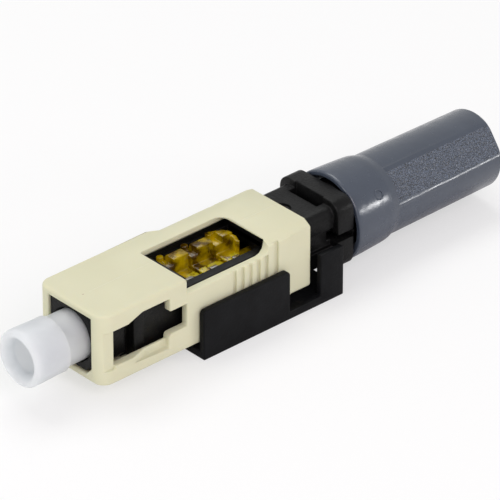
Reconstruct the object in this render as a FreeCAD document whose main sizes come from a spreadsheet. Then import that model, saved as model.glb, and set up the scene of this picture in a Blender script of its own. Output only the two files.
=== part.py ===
import FreeCAD, Part
import math
import os
import re

import Sketcher

# Field-installable SC fibre connector: a push-pull housing over a plug frame and splice body,
# with a spring-loaded ferrule and V-groove splice, a wedge clip that holds the splice open,
# a tail nut that closes the cable jaws and a dust cap.  Millimetres.
# Frame: X runs along the fibre, nose towards -X, with x = 0 at the housing's front face;
# Y is across the width; +Z is up; y = z = 0 on the fibre's centre line.

SIZES = {
    # outer housing: outside and cavity
    "hs_wide": 9.0,          # width across the side walls
    "hs_high": 7.4,          # height across the top and bottom plates
    "hs_long": 25.65,        # front face to rear face
    "cav_play": 0.2,         # room each side between the cavity and the body
    "nose_long": 1.7,       # depth of the front pillars
    "nose_half": 2.95,       # half width of the front opening
    "nose_z": 3.05,          # half height of the front opening
    "nose_round": 1.25,      # plan rounding of the front corners
    "pillar_in": 0.3,        # how far the pillar stands back from the side face
    "edge_round": 0.3,       # rounding of the long edges of the front block
    "cham_from": 13.0,       # where the long-edge chamfer starts to run in
    "cham_full": 14.6,       # where it has its full size
    "cham_wide": 0.97,       # chamfer leg across the top face
    "cham_high": 0.58,       # chamfer leg down the side face
    # outer housing: window over the splice, open through the near top corner
    "tw_front": 10.24,
    "tw_rear": 20.3,
    "tw_far": 2.0,
    "tw_round": 1.0,
    "tw_lip": 0.15,          # thickness left at the rear edge of the window
    "tw_under": 0.75,        # reach of the undercut behind that edge
    "rail_z": 2.2,           # top of the side wall left under the window
    # outer housing: side windows for the adapter's latch arms
    "sw_rear": 10.3,
    "sw_z": 1.89,
    "sw_rise_from": 3.38,
    "sw_rise_to": 4.92,
    "sw_high": 2.48,
    "tab_front": 8.2,        # rear tab under the window's upper edge
    "tab_z": 1.1,
    "block_front": 8.05,     # raised block at the lower rear corner
    "block_z": 1.25,
    "block_round": 0.35,
    "ledge_from": 3.8,       # the sill falls outwards and dips here, at the side face
    "ledge_to": 5.6,         # behind this the recess beside the sill has its full depth
    "ledge_z": 2.65,
    "ledge_deep": 0.6,
    "pillar_low": 1.75,      # the sill's outer edge beside the front pillar
    "plate_z": 2.2,          # upper edge of the lower plate in front of the ramp
    # outer housing: finger grip grooves
    "rib_from": 15.9,
    "rib_pitch": 0.98,
    "rib_wide": 0.45,
    "rib_deep": 0.25,
    "rib_count": 5,
    "rib_low": 2.4,
    "groove_from": 20.95,    # wider groove behind the grip
    "groove_wide": 0.6,
    "side_step": 23.06,      # the side face steps in behind this line
    "step_deep": 0.08,
    # outer housing: orientation key and wedge window in the bottom plate
    "key_from": 3.5,
    "key_to": 9.5,
    "key_wide": 2.2,
    "key_high": 0.9,
    "bw_from": 11.8,
    "bw_to": 20.5,
    "bw_half": 2.4,
    # plug frame
    "gap": 0.1,              # sliding clearance between the housing and what it covers
    "pf_front": 0.22,
    "pf_rear": 11.3,
    "pf_in": 0.2,            # the frame's latch part is this much narrower than the body, each side
    "pf_neck_from": 4.15,    # latch notch in each side
    "pf_neck_to": 4.8,
    "pf_neck_deep": 0.6,
    "pf_rib_to": 6.0,        # raised barb behind the notch
    "pf_rib_high": 0.15,
    "pf_low_cut": 0.8,       # bevel on the two lower corners of the front
    "sleeve_dia": 5.3,       # bore for the adapter's alignment sleeve
    "sleeve_end": 4.0,
    "seat_dia": 2.7,         # hole in the wall that the ferrule passes
    "seat_end": 5.0,
    "well_dia": 5.0,         # bore for the flange and spring
    # ferrule, holder and stub fibre
    "fer_dia": 2.5,
    "fer_front": -1.8,
    "fer_long": 10.5,
    "fer_cham": 0.35,
    "fibre_dia": 0.25,
    "holder_gap": 0.05,
    "flange_dia": 4.8,
    "flange_thick": 1.15,
    "tube_dia": 3.3,
    "hole_dia": 0.9,
    "press": 0.6,            # spring-loaded travel of the ferrule
    # ferrule spring
    "coil_dia": 4.45,
    "wire_dia": 0.42,
    "coil_turns": 3.5,       # a whole number of half turns
    # splice body
    "body_half": 3.4,
    "body_z": 3.0,
    "body_round": 0.8,
    "wall_z": 2.0,           # top of the body's walls beside the splice
    "open_to": 21.4,         # rear end of the splice channel
    "chan_half": 2.35,
    "chan_wall": 0.5,
    "floor_z": 2.0,
    "boss_long": 1.0,
    "lead_dia": 1.6,
    "flange_x": 29.4,
    "flange_end": 31.4,
    "flange_half": 4.05,
    "flange_z": 3.65,
    "flange_round": 1.3,
    "notch_half": 1.9,       # pocket in the top, half in the body and half in the flange
    "notch_from": 28.65,
    "notch_mid": 28.95,
    "notch_to": 29.6,
    "notch_floor": 1.75,
    "slit": 0.8,             # slit that parts the cable jaws
    "slit_from": 29.0,
    "side_slot_z": 0.95,
    "side_slot_deep": 0.45,
    "side_slot_from": 22.5,
    "mark_dia": 1.9,         # round recess in the body's top
    "mark_x": 25.9,
    "mark_deep": 0.25,
    "thread_dia": 6.6,
    "jaw_end": 44.0,
    "jaw_cone": 4.5,
    "jaw_tip_dia": 5.2,
    "cable_dia": 3.2,
    "guide_end": 25.6,
    "cone_end": 28.0,
    # splice: V-groove base, three lids and their springs
    "sp_half": 2.0,
    "sp_front": 11.9,
    "sp_lid": 2.7,
    "sp_pitch": 3.0,
    "sp_base_z": 1.75,
    "sp_plane": 0.12,        # parting plane between base and lids
    "lid_shelf": 1.0,
    "lid_top": 2.75,
    "lid_ridge_from": 0.15,
    "lid_ridge_to": 1.45,
    "lid_ridge_x": 0.85,     # the ridge starts this far behind the lid's front
    "lid_step": 2.1,         # lower part of the ridge, in front of it
    "bump_dia": 0.7,
    "bump_x": 0.55,
    "bump_top": 2.5,
    "rim_wide": 0.4,         # upright rim round the last lid's curved end
    "rim_top": 2.6,
    "sp_lid_rear": 2.15,     # the last lid is shorter
    "vee_half": 0.25,
    "vee_deep": 0.3,
    "spring_thick": 0.15,
    "spring_wide": 0.8,
    "spring_gap": 0.02,
    "spring_reach": 0.75,
    "rest_gap": 0.05,
    # wedge clip
    "clip_from": 11.6,
    "clip_rear": 29.0,
    "clip_thick": 0.7,
    "clip_gap": 0.1,
    "clip_plate": 0.85,
    "clip_low": 5.2,
    "clip_top": 0.05,
    "clip_slot_from": 22.3,
    "clip_slot_to": 26.15,
    "clip_round": 0.5,
    "pad_from": 13.0,
    "pad_to": 19.6,
    "pad_half": 2.2,
    "pad_gap": 0.1,
    "wedge_long": 0.8,
    "wedge_thick": 0.6,
    "wedge_in": 1.25,
    "wedge_play": 0.15,
    # tail nut
    "nut_from": 31.75,
    "nut_end": 50.8,
    "tail_drop": 0.2,        # the jaws and the nut lie this much below the ferrule's axis
    "collar_end": 37.4,
    "collar_dia": 9.15,
    "collar_rear_dia": 8.6,
    "nut_lead": 0.2,         # chamfer round the front
    "mouth_dia": 8.2,        # wider mouth of the bore
    "mouth_deep": 1.2,
    "step_end": 38.4,
    "barrel_dia": 8.05,
    "tail_dia": 7.82,
    "tail_round": 0.25,
    "nut_play": 0.1,
    "bore_end": 45.0,
    "nut_cone": 3.0,
    "flat_off": 3.55,
    "flat_turn": 37.0,
    "thread_relief": 0.4,
    # dust cap
    "cap_front": -6.15,
    "cap_rear": -2.15,
    "cap_front_dia": 5.68,
    "cap_rear_dia": 5.5,
    "cap_round": 0.35,
    "cap_dish_dia": 3.4,
    "cap_dish_fall": 0.5,    # the dish is this much wider all round at its rim
    "cap_dish": 0.95,
    "spigot_dia": 5.0,
    "spigot_end": 3.6,
    "cap_floor": -4.4,
    "cap_bore": 2.6,
}

os.makedirs("parts", exist_ok=True)
doc = FreeCAD.newDocument("sc_fibre_connector")
sheet = doc.addObject("Spreadsheet::Sheet", "Sizes")
for row, (alias, value) in enumerate(SIZES.items(), start=1):
    sheet.set("A%d" % row, alias)
    sheet.set("B%d" % row, repr(value))
    sheet.setAlias("B%d" % row, alias)
doc.recompute()
NODES = []


def ex(text):
    """Expression text with each size's name turned into its cell in the sheet."""
    def cell(found):
        word = found.group(0)
        return "Sizes." + word if word in SIZES else word
    return re.sub(r"[a-z_][a-z_0-9]*", cell, str(text))


def origin_of(owner, role):
    return next(item for item in owner.Origin.OriginFeatures if item.Role == role)


def new_body(node, x_at=None, drop=None):
    owner = doc.addObject("PartDesign::Body", node)
    owner.Label = node
    if x_at is not None:
        owner.setExpression(".Placement.Base.x", ex(x_at))
    if drop:
        owner.setExpression(".Placement.Base.z", ex("-" + drop))
    NODES.append(owner)
    return owner


def sketch(owner, name, role, at, *loops, drop=None):
    """A sketch of closed polygons whose corners are bound to the sheet."""
    item = owner.newObject("Sketcher::SketchObject", name)
    item.AttachmentSupport = [(origin_of(owner, role), "")]
    item.MapMode = "FlatFace"
    item.setExpression(".AttachmentOffset.Base.z", ex(at))
    if drop:
        item.setExpression(".AttachmentOffset.Base.y", ex("-" + drop))
    first = 0
    for corners in loops:
        count = len(corners)
        for step in range(count):
            start = 2 * math.pi * step / count
            stop = 2 * math.pi * (step + 1) / count
            item.addGeometry(Part.LineSegment(
                FreeCAD.Vector(math.cos(start) + first, math.sin(start), 0),
                FreeCAD.Vector(math.cos(stop) + first, math.sin(stop), 0)), False)
        for step in range(count):
            item.addConstraint(Sketcher.Constraint(
                "Coincident", first + step, 2, first + (step + 1) % count, 1))
        for step, (across, up) in enumerate(corners):
            for kind, size in (("DistanceX", across), ("DistanceY", up)):
                index = item.addConstraint(Sketcher.Constraint(kind, -1, 1, first + step, 1, 1.0))
                item.setExpression("Constraints[%d]" % index, ex(size))
        first += count
    return item


def ring(owner, name, role, at, across, up, dia):
    """A sketch of one circle bound to the sheet."""
    item = owner.newObject("Sketcher::SketchObject", name)
    item.AttachmentSupport = [(origin_of(owner, role), "")]
    item.MapMode = "FlatFace"
    item.setExpression(".AttachmentOffset.Base.z", ex(at))
    item.addGeometry(Part.Circle(FreeCAD.Vector(1, 1, 0), FreeCAD.Vector(0, 0, 1), 1.0), False)
    for kind, size in (("DistanceX", across), ("DistanceY", up)):
        index = item.addConstraint(Sketcher.Constraint(kind, -1, 1, 0, 3, 1.0))
        item.setExpression("Constraints[%d]" % index, ex(size))
    index = item.addConstraint(Sketcher.Constraint("Diameter", 0, 1.0))
    item.setExpression("Constraints[%d]" % index, ex(dia))
    return item


def feature(owner, kind, name, profile, length, both=False, back=False):
    """A Pad or Pocket of a sketch; both: half each way; back: against its usual direction."""
    item = owner.newObject("PartDesign::" + kind, name)
    item.Profile = profile
    item.Midplane = both
    item.Reversed = back
    item.setExpression("Length", ex(length))
    doc.recompute()
    return item


def turned(owner, kind, name, profile):
    """A full Revolution or Groove of a sketch about the sketch's own level axis."""
    item = owner.newObject("PartDesign::" + kind, name)
    item.Profile = profile
    item.ReferenceAxis = (profile, ["H_Axis"])
    item.Angle = 360
    doc.recompute()
    return item


def dressed(owner, kind, name, base, size, wanted):
    """A Fillet or Chamfer on the base's edges that wanted(middle, direction) picks."""
    picked = []
    for number, edge in enumerate(base.Shape.Edges, start=1):
        middle = edge.valueAt((edge.FirstParameter + edge.LastParameter) / 2)
        along = (edge.Vertexes[-1].Point - edge.Vertexes[0].Point)
        if along.Length > 0:
            along.normalize()
        if wanted(middle, along):
            picked.append("Edge%d" % number)
    item = owner.newObject("PartDesign::" + kind, name)
    item.Base = (base, picked)
    item.setExpression("Radius" if kind == "Fillet" else "Size", ex(size))
    doc.recompute()
    return item


def mirrored(owner, name, originals, role):
    item = owner.newObject("PartDesign::Mirrored", name)
    item.Originals = originals
    item.MirrorPlane = (origin_of(owner, role), [""])
    owner.Tip = item
    doc.recompute()
    return item


def box(left, low, right, high):
    return [(left, low), (right, low), (right, high), (left, high)]


def near(value, target, room=0.02):
    return abs(value - target) < room


def size(name):
    return SIZES[name]


HALF = size("hs_wide") / 2
ARC_STEPS = (0, 30, 60, 90)
WIRE_SIDES = 5
RIM_STEPS = (10, 40, 70, 100, 130)
TOP = size("hs_high") / 2

# ---------------------------------------------------------------- outer housing
b = new_body("outer_housing")
block = feature(b, "Pad", "housing_block",
                sketch(b, "housing_section", "YZ_Plane", "0",
                       box("-hs_wide/2", "-hs_high/2", "hs_wide/2", "hs_high/2")), "hs_long")
block = dressed(b, "Fillet", "nose_corners", block, "nose_round",
                lambda m, d: near(abs(d.z), 1) and near(m.x, 0))
block = dressed(b, "Fillet", "long_edges", block, "edge_round",
                lambda m, d: near(abs(d.x), 1) and near(abs(m.z), TOP) and near(abs(m.y), HALF))
feature(b, "Pocket", "cavity",
        sketch(b, "cavity_section", "YZ_Plane", "hs_long",
               box("-body_half-cav_play", "-body_z-gap", "body_half+cav_play", "body_z+gap")), "hs_long-nose_long")
feature(b, "Pocket", "nose_opening",
        sketch(b, "nose_section", "YZ_Plane", "nose_long+gap",
               [("-nose_half+pf_low_cut", "-nose_z"), ("nose_half-pf_low_cut", "-nose_z"),
                ("nose_half", "-nose_z+pf_low_cut"), ("nose_half", "nose_z"),
                ("-nose_half", "nose_z"), ("-nose_half", "-nose_z+pf_low_cut")]),
        "nose_long+2*gap")
# long-edge chamfers: the upper two run in over a short slope, the lower two end square
corner = [("hs_wide/2-cham_wide", "hs_high/2"), ("hs_wide/2", "hs_high/2-cham_high"),
          ("hs_wide/2+cham_wide", "hs_high/2+cham_high")]
start = [("hs_wide/2-cham_wide*gap", "hs_high/2"), ("hs_wide/2", "hs_high/2-cham_high*gap"),
         ("hs_wide/2+cham_wide*gap", "hs_high/2+cham_high*gap")]
run_in = b.newObject("PartDesign::SubtractiveLoft", "chamfer_run_in")
run_in.Profile = sketch(b, "chamfer_start", "YZ_Plane", "cham_from", start)
run_in.Sections = [sketch(b, "chamfer_full", "YZ_Plane", "cham_full", corner)]
run_in.Ruled = True
doc.recompute()
long_cut = feature(b, "Pocket", "chamfer_run",
                   sketch(b, "chamfer_rear", "YZ_Plane", "hs_long", corner),
                   "hs_long-cham_full")
left = mirrored(b, "chamfers_far_near", [run_in, long_cut], "XZ_Plane")
low_corner = [(y, "-(%s)" % z) for y, z in corner]
cut_low = feature(b, "Pocket", "chamfer_run_low",
                  sketch(b, "chamfer_rear_low", "YZ_Plane", "hs_long", low_corner),
                  "hs_long-cham_full")
mirrored(b, "chamfers_low", [cut_low], "XZ_Plane")
# window over the splice: through the top plate, and down through the near side wall
window = feature(b, "Pocket", "top_window",
                 sketch(b, "top_window_plan", "XY_Plane", "hs_high/2",
                        box("tw_front", "-body_half-cav_play", "tw_rear", "tw_far")),
                 "hs_high/2-body_z")
dressed(b, "Fillet", "window_far_corner", window, "tw_round",
        lambda m, d: near(abs(d.z), 1) and near(m.x, size("tw_rear"))
        and near(m.y, size("tw_far")))
curve = [("tw_rear-tw_round+tw_round*sin(%g*1deg)" % turn,
          "rail_z+tw_round-tw_round*cos(%g*1deg)" % turn) for turn in ARC_STEPS]
feature(b, "Pocket", "window_undercut",
        sketch(b, "window_undercut_side", "XZ_Plane", "body_half+cav_play",
               [("tw_rear-tw_round", "hs_high/2-tw_lip"), ("tw_rear", "hs_high/2-tw_lip"),
                ("tw_rear+tw_under", "body_z"), ("tw_rear-tw_round", "body_z")]),
        "body_half+cav_play+tw_far")
feature(b, "Pocket", "side_notch",
        sketch(b, "side_notch_outline", "XZ_Plane", "hs_wide/2+gap",
               [("tw_front", "rail_z")] + curve
               + [("tw_rear", "hs_high/2+gap"), ("tw_front", "hs_high/2+gap")]),
        "hs_wide/2-body_half-cav_play+2*gap")
# side windows, the same on both sides
feature(b, "Pocket", "side_windows",
        sketch(b, "side_window_outline", "XZ_Plane", "0",
               [("nose_long", "-sw_z"), ("block_front", "-sw_z"),
                ("block_front", "-block_z-block_round"),
                ("block_front+block_round*0.3", "-block_z-block_round*0.3"),
                ("block_front+block_round", "-block_z"),
                ("sw_rear", "-block_z"), ("sw_rear", "tab_z"), ("tab_front", "tab_z"),
                ("tab_front", "sw_high"), ("sw_rise_to", "sw_high"), ("sw_rise_from", "sw_z"),
                ("nose_long", "sw_z")]), "hs_wide+2*gap", both=True)
sill = b.newObject("PartDesign::SubtractiveLoft", "falling_sill")
sill.Profile = sketch(b, "sill_inner", "XZ_Plane", "hs_wide/2-ledge_deep*1.5",
                      [("nose_long", "-sw_z"), ("ledge_from", "-sw_z"), ("ledge_to", "-sw_z"),
                       ("block_front", "-sw_z"), ("block_front", "-sw_z+gap"),
                       ("nose_long", "-sw_z+gap")])
sill.Sections = [sketch(b, "sill_outer", "XZ_Plane", "hs_wide/2+gap",
                        [("nose_long", "-pillar_low-gap/2"), ("ledge_from", "-ledge_z-gap/2"),
                         ("ledge_to", "-ledge_z-gap/2"), ("block_front", "-ledge_z-gap/2"),
                         ("block_front", "-sw_z+gap"), ("nose_long", "-sw_z+gap")])]
sill.Ruled = True
doc.recompute()
b.Tip = sill
ledge = feature(b, "Pocket", "sill_recess",
                sketch(b, "sill_recess_plan", "XY_Plane", "-block_z-block_round",
                       [("ledge_from", "-hs_wide/2"), ("ledge_to", "-hs_wide/2+ledge_deep"),
                        ("block_front", "-hs_wide/2+ledge_deep"),
                        ("block_front", "-hs_wide/2-gap"), ("ledge_from", "-hs_wide/2-gap")]),
                "ledge_z-block_z-block_round")
pillar = feature(b, "Pocket", "pillar_face",
                 sketch(b, "pillar_outline", "XZ_Plane", "hs_wide/2",
                        [("-gap", "-plate_z"), ("nose_long-gap", "-plate_z"),
                         ("nose_long+gap", "-pillar_low"), ("nose_long+gap", "sw_z"),
                         ("-gap", "sw_z")]),
                 "pillar_in")
rib = feature(b, "Pocket", "grip_groove",
              sketch(b, "grip_groove_outline", "XZ_Plane", "hs_wide/2",
                     box("rib_from", "-rib_low", "rib_from+rib_wide", "rail_z+gap")),
              "rib_deep")
wide = feature(b, "Pocket", "grip_end_groove",
               sketch(b, "grip_end_outline", "XZ_Plane", "hs_wide/2",
                      box("groove_from", "-rib_low", "groove_from+groove_wide",
                          "hs_high/2-cham_high+gap")), "rib_deep")
step = feature(b, "Pocket", "side_step_face",
               sketch(b, "side_step_outline", "XZ_Plane", "hs_wide/2",
                      box("side_step", "-hs_high/2", "hs_long+gap", "hs_high/2")),
               "step_deep")
grip = b.newObject("PartDesign::LinearPattern", "grip")
grip.Originals = [rib]
grip.Direction = (origin_of(b, "X_Axis"), [""])
grip.setExpression("Length", ex("rib_pitch*(rib_count-1)"))
grip.setExpression("Occurrences", ex("rib_count"))
b.Tip = grip
doc.recompute()
mirrored(b, "far_side_faces", [sill, ledge, pillar, wide, step], "XZ_Plane")
far_rib = feature(b, "Pocket", "far_grip_groove",
                  sketch(b, "far_grip_outline", "XZ_Plane", "-hs_wide/2",
                         box("rib_from", "-rib_low", "rib_from+rib_wide", "rail_z+gap")),
                  "rib_deep", back=True)
far_grip = b.newObject("PartDesign::LinearPattern", "far_grip")
far_grip.Originals = [far_rib]
far_grip.Direction = (origin_of(b, "X_Axis"), [""])
far_grip.setExpression("Length", ex("rib_pitch*(rib_count-1)"))
far_grip.setExpression("Occurrences", ex("rib_count"))
b.Tip = far_grip
doc.recompute()
# underside: wedge window and orientation key
feature(b, "Pocket", "wedge_window",
        sketch(b, "wedge_window_plan", "XY_Plane", "-body_z",
               box("bw_from", "-bw_half", "bw_to", "bw_half")), "hs_high/2-body_z+gap")
tip = feature(b, "Pad", "key",
              sketch(b, "key_plan", "XY_Plane", "-body_z-2*gap",
                     box("key_from", "-key_wide/2", "key_to", "key_wide/2")),
              "hs_high/2+key_high-body_z-2*gap", back=True)

# ---------------------------------------------------------------- plug frame
b = new_body("plug_frame")
near_edge = [("pf_front", "nose_half-gap"), ("pf_neck_from", "nose_half-gap"),
             ("pf_neck_from", "nose_half-gap-pf_neck_deep"),
             ("pf_neck_to", "nose_half-gap-pf_neck_deep"),
             ("pf_neck_to", "body_half-pf_in+pf_rib_high"),
             ("pf_rib_to", "body_half-pf_in+pf_rib_high"), ("pf_rib_to", "body_half-pf_in"),
             ("pf_rear", "body_half-pf_in")]
feature(b, "Pad", "frame_plan",
        sketch(b, "frame_outline", "XY_Plane", "0",
               near_edge + [(x, "-(%s)" % y) for x, y in reversed(near_edge)]),
        "2*(nose_z-gap)", both=True)
bevel = feature(b, "Pocket", "lower_bevel",
                sketch(b, "lower_bevel_section", "YZ_Plane", "pf_neck_from",
                       [("nose_half-gap-pf_low_cut", "-nose_z"), ("nose_half", "-nose_z"),
                        ("nose_half", "-nose_z+gap+pf_low_cut"),
                        ("nose_half-gap", "-nose_z+gap+pf_low_cut"),
                        ("nose_half-gap-pf_low_cut", "-nose_z+gap")]), "pf_neck_from")
mirrored(b, "lower_bevels", [bevel], "XZ_Plane")
turned(b, "Groove", "bores",
       sketch(b, "bore_profile", "XZ_Plane", "0",
              [("pf_front-gap", "0"), ("pf_front-gap", "sleeve_dia/2"),
               ("sleeve_end", "sleeve_dia/2"), ("sleeve_end", "seat_dia/2"),
               ("seat_end", "seat_dia/2"), ("seat_end", "well_dia/2"),
               ("pf_rear+gap", "well_dia/2"), ("pf_rear+gap", "0")]))

# ---------------------------------------------------------------- ferrule group
b = new_body("ferrule", "fer_front")
stick = turned(b, "Revolution", "ferrule_turned",
               sketch(b, "ferrule_profile", "XZ_Plane", "0",
                      [("0", "fibre_dia/2+gap/4"), ("0", "fer_dia/2-fer_cham"),
                       ("fer_cham*2", "fer_dia/2"), ("fer_long", "fer_dia/2"),
                       ("fer_long", "fibre_dia/2+gap/4")]))

b = new_body("ferrule_holder", "seat_end+holder_gap")
turned(b, "Revolution", "holder_turned",
       sketch(b, "holder_profile", "XZ_Plane", "0",
              [("0", "fer_dia/2"), ("0", "flange_dia/2-fer_cham"), ("fer_cham", "flange_dia/2"),
               ("flange_thick", "flange_dia/2"), ("flange_thick", "tube_dia/2"),
               ("sp_front-seat_end-holder_gap", "tube_dia/2"),
               ("sp_front-seat_end-holder_gap", "hole_dia/2"),
               ("fer_front+fer_long-seat_end-holder_gap", "hole_dia/2"),
               ("fer_front+fer_long-seat_end-holder_gap", "fer_dia/2")]))

b = new_body("fibre_stub", "fer_front")
feature(b, "Pad", "fibre",
        ring(b, "fibre_section", "YZ_Plane", "0", "0", "0", "fibre_dia"),
        "sp_front-fer_front+sp_pitch+sp_lid/2")

# compression spring: half turns as arcs in planes tilted to and fro, tangent where they meet
coil_r = (size("coil_dia") - size("wire_dia")) / 2
coil_from = (size("seat_end") + size("holder_gap") + size("flange_thick") + size("rest_gap")
             + size("wire_dia") / 2)
coil_to = size("pf_rear") - size("boss_long") - size("rest_gap") - size("wire_dia") / 2
halves = int(2 * size("coil_turns"))
step_x = (coil_to - coil_from) / halves
pieces = []
for count in range(halves):
    side = 1 if count % 2 else -1
    first = FreeCAD.Vector(coil_from + count * step_x, 0, side * coil_r)
    last = FreeCAD.Vector(coil_from + (count + 1) * step_x, 0, -side * coil_r)
    across = (last - first) / 2
    rim = [FreeCAD.Vector(across.Length + size("wire_dia") / 2 * math.cos(turn), 0,
                          size("wire_dia") / 2 * math.sin(turn))
           for turn in (2 * math.pi * (corner + 0.5) / WIRE_SIDES for corner in range(WIRE_SIDES))]
    half = Part.Face(Part.makePolygon(rim + rim[:1])).revolve(
        FreeCAD.Vector(), FreeCAD.Vector(0, 0, 1), 180)
    out = FreeCAD.Vector(0, side, 0)
    turn = FreeCAD.Matrix()
    axes = (-across.normalize(), out, (-across).cross(out))
    for column, axis in enumerate(axes, start=1):
        turn.setCol(column - 1, axis)
    half.transformShape(turn)
    half.translate((first + last) / 2)
    pieces.append(half)
coil = pieces[0].multiFuse(pieces[1:]).removeSplitter()
spring = doc.addObject("Part::Feature", "ferrule_spring")
spring.Label = "ferrule_spring"
spring.Shape = coil
spring.Placement = FreeCAD.Placement()
NODES.append(spring)

# ---------------------------------------------------------------- splice
b = new_body("splice_base", "sp_front")
LONG = "2*sp_pitch+sp_lid_rear"
base = feature(b, "Pad", "base_block",
               sketch(b, "base_plan", "XY_Plane", "sp_plane-rest_gap/2",
                      box("0", "-sp_half", LONG, "sp_half")),
               "sp_base_z+sp_plane-rest_gap/2", back=True)
dressed(b, "Fillet", "base_round_end", base, "sp_half-gap",
        lambda m, d: near(abs(d.z), 1) and m.x > size("sp_pitch") * 2)
feature(b, "Pocket", "wedge_gates",
        sketch(b, "wedge_gate_plan", "XY_Plane", "sp_plane",
               box("sp_lid+(sp_pitch-sp_lid)/2-wedge_long/2-press-wedge_play", "-sp_half-gap",
                   "sp_lid+(sp_pitch-sp_lid)/2+wedge_long/2+wedge_play", "-wedge_in+wedge_play"),
               box("sp_pitch+sp_lid+(sp_pitch-sp_lid)/2-wedge_long/2-press-wedge_play",
                   "-sp_half-gap",
                   "sp_pitch+sp_lid+(sp_pitch-sp_lid)/2+wedge_long/2+wedge_play",
                   "-wedge_in+wedge_play")), "sp_base_z+2*sp_plane")
feature(b, "Pocket", "vee_groove",
        sketch(b, "vee_section", "YZ_Plane", LONG,
               [("-vee_half", "sp_plane"), ("0", "-vee_deep"), ("vee_half", "sp_plane")]), LONG)
feature(b, "Pad", "lead_in_tube",
        ring(b, "lead_in_section", "YZ_Plane", LONG + "-2*gap", "0", "-lead_dia/4", "lead_dia"),
        "guide_end-sp_front-(%s)" % LONG)
feature(b, "Pocket", "lid_seat",
        sketch(b, "lid_seat_plan", "XY_Plane", "sp_plane-rest_gap/2+lead_dia",
               box(LONG + "-3*gap", "-lead_dia", LONG + "+gap", "lead_dia")), "lead_dia")
feature(b, "Pocket", "lead_in_bore",
        ring(b, "lead_in_hole", "YZ_Plane", "guide_end-sp_front+gap", "0", "0", "fibre_dia*1.6"),
        "guide_end-sp_front-(%s)+sp_lid" % LONG)

for count, place in enumerate(("front", "mid", "rear")):
    at = "sp_front+%d*sp_pitch" % count
    long = "sp_lid_rear" if place == "rear" else "sp_lid"
    b = new_body("splice_lid_" + place, at)
    lid = feature(b, "Pad", "lid_plate_" + place,
                  sketch(b, "lid_plan_" + place, "XY_Plane", "sp_plane+rest_gap/2",
                         box("0", "-sp_half", long, "sp_half")), "lid_shelf")
    feature(b, "Pad", "lid_step_" + place,
            sketch(b, "lid_step_side_" + place, "YZ_Plane", "0",
                   box("lid_ridge_from", "sp_plane+gap", "lid_ridge_to+gap", "lid_step")),
            "lid_ridge_x+gap")
    ridge = feature(b, "Pad", "lid_ridge_" + place,
                    sketch(b, "ridge_side_" + place, "YZ_Plane", "lid_ridge_x",
                           [("lid_ridge_from", "sp_plane+gap"), ("lid_ridge_to", "sp_plane+gap"),
                            ("lid_ridge_to", "lid_top-gap*2"), ("lid_ridge_to-gap*2", "lid_top"),
                            ("lid_ridge_from", "lid_top")]),
                    long + "-lid_ridge_x")
    bump = feature(b, "Pad", "lid_bump_" + place,
                   ring(b, "bump_plan_" + place, "XY_Plane", "sp_plane+gap",
                        "bump_x", "lid_ridge_to+bump_dia/2-gap/2", "bump_dia"),
                   "bump_top-sp_plane-gap")
    if place == "rear":
        arc = [(long + "-sp_half*(1-sin(%d*1deg))" % turn, "sp_half*cos(%d*1deg)" % turn,
                long + "-sp_half+(sp_half-rim_wide)*sin(%d*1deg)" % turn,
                "(sp_half-rim_wide)*cos(%d*1deg)" % turn) for turn in RIM_STEPS]
        feature(b, "Pad", "lid_rim",
                sketch(b, "lid_rim_plan", "XY_Plane", "sp_plane+gap",
                       [(x, y) for x, y, _, _ in arc]
                       + [(x, y) for _, _, x, y in reversed(arc)]), "rim_top-sp_plane-gap")
        feature(b, "Pocket", "lid_rear_trim",
                sketch(b, "lid_trim_plan", "XY_Plane", "lid_top+gap",
                       [(x, y) for x, y, _, _ in arc]
                       + [(long + "+gap", "sp_half*cos(%d*1deg)" % RIM_STEPS[-1]),
                          (long + "+gap", "sp_half+gap"),
                          (long + "-sp_half*(1-sin(%d*1deg))" % RIM_STEPS[0], "sp_half+gap")]),
                "lid_top+gap-sp_plane-rest_gap/2+gap")
    spring_body = new_body("clamp_spring_" + place, at)
    out = "-sp_half-spring_gap"
    feature(spring_body, "Pad", "strip_" + place,
            sketch(spring_body, "strip_section_" + place, "YZ_Plane",
                   long + "/2-spring_wide/2",
                   [(out + "-spring_thick", "-sp_base_z-spring_gap-spring_thick"),
                    ("sp_half/2", "-sp_base_z-spring_gap-spring_thick"),
                    ("sp_half/2", "-sp_base_z-spring_gap"), (out, "-sp_base_z-spring_gap"),
                    (out, "sp_plane+rest_gap/2+lid_shelf+spring_gap"),
                    ("-sp_half+spring_reach", "sp_plane+rest_gap/2+lid_shelf+spring_gap"),
                    ("-sp_half+spring_reach",
                     "sp_plane+rest_gap/2+lid_shelf+spring_gap+spring_thick"),
                    (out + "-spring_thick",
                     "sp_plane+rest_gap/2+lid_shelf+spring_gap+spring_thick")]),
            "spring_wide")

# ---------------------------------------------------------------- splice body with cable jaws
b = new_body("main_body")
shell = feature(b, "Pad", "body_block",
                sketch(b, "body_section", "YZ_Plane", "pf_rear",
                       box("-body_half", "-body_z", "body_half", "body_z")),
                "flange_x-pf_rear+gap")
shell = dressed(b, "Fillet", "body_edges", shell, "body_round",
                lambda m, d: near(abs(d.x), 1))
flange = feature(b, "Pad", "flange",
                 sketch(b, "flange_section", "YZ_Plane", "flange_x",
                        box("-flange_half", "-flange_z", "flange_half", "flange_z")),
                 "flange_end-flange_x")
dressed(b, "Fillet", "flange_corners", flange, "flange_round",
        lambda m, d: near(abs(d.x), 1) and near(abs(m.y), size("flange_half"))
        and near(abs(m.z), size("flange_z")))
turned(b, "Revolution", "jaws",
       sketch(b, "jaw_profile", "XZ_Plane", "0",
              [("flange_end-gap", "0"), ("flange_end-gap", "thread_dia/2-thread_relief"),
               ("flange_end+thread_relief", "thread_dia/2-thread_relief"),
               ("flange_end+2*thread_relief", "thread_dia/2"),
               ("jaw_end-jaw_cone", "thread_dia/2"), ("jaw_end", "jaw_tip_dia/2"),
               ("jaw_end", "0")], drop="tail_drop"))
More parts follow.
